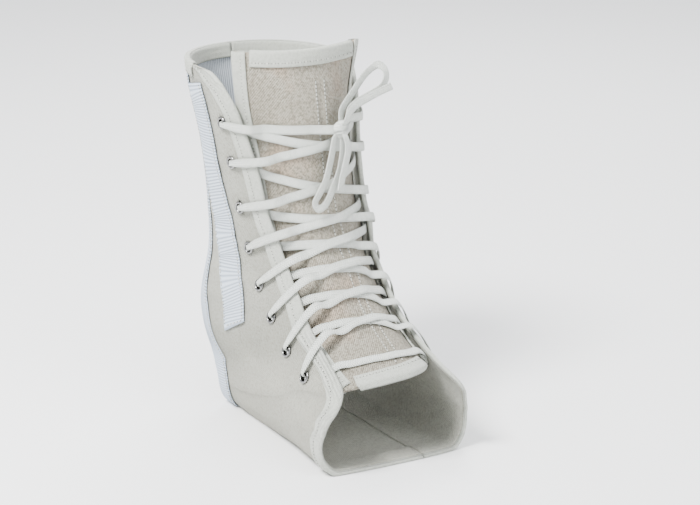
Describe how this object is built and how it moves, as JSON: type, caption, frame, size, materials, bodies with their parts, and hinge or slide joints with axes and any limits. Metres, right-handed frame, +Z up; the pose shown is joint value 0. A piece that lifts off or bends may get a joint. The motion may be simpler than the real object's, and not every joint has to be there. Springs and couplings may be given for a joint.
{
  "type": "ankle brace",
  "caption": "Lace-up canvas ankle brace for the right foot: wraps the lower leg and midfoot, open at heel and toes, with tongue, bound edges, side webbing and a tied flat lace.",
  "frame": {"origin": "on the flat underside, below the ankle, halfway between the sides of the leg", "axes": "+X towards the toes, +Y towards the inner side of the foot, +Z up along the leg"},
  "size_m": [0.1901, 0.097, 0.206],
  "materials": {
    "canvas": "plain-woven cotton canvas, grey-beige",
    "facing_cloth": "smooth woven tape, pale grey",
    "webbing": "fine-ribbed webbing, bluish white",
    "twill": "soft twill, tan-beige",
    "lace_cloth": "flat woven lace, off-white",
    "nickel": "nickel-plated, satin"
  },
  "bodies": {
    "root": {"lateral_panel": "canvas", "lateral_facing": "facing_cloth", "lateral_top_binding": "facing_cloth", "lateral_stay_webbing": "webbing", "lateral_rear_binding": "webbing", "lateral_eyelet_1": "nickel", "lateral_eyelet_2": "nickel", "lateral_eyelet_3": "nickel", "lateral_eyelet_4": "nickel", "lateral_eyelet_5": "nickel", "lateral_eyelet_6": "nickel", "lateral_eyelet_7": "nickel", "lateral_eyelet_8": "nickel", "medial_panel": "canvas", "medial_facing": "facing_cloth", "medial_top_binding": "facing_cloth", "medial_stay_webbing": "webbing", "medial_rear_binding": "webbing", "medial_eyelet_1": "nickel", "medial_eyelet_2": "nickel", "medial_eyelet_3": "nickel", "medial_eyelet_4": "nickel", "medial_eyelet_5": "nickel", "medial_eyelet_6": "nickel", "medial_eyelet_7": "nickel", "medial_eyelet_8": "nickel", "achilles_gore": "webbing", "tongue": "twill", "tongue_lateral_binding": "facing_cloth", "tongue_medial_binding": "facing_cloth", "tongue_top_binding": "facing_cloth", "tongue_bottom_binding": "facing_cloth", "lace": "lace_cloth", "bow_knot": "lace_cloth", "bow_loop_upper": "lace_cloth", "bow_loop_lower": "lace_cloth", "lace_end_upper": "lace_cloth", "lace_end_lower": "lace_cloth"}
  },
  "joints": []
}
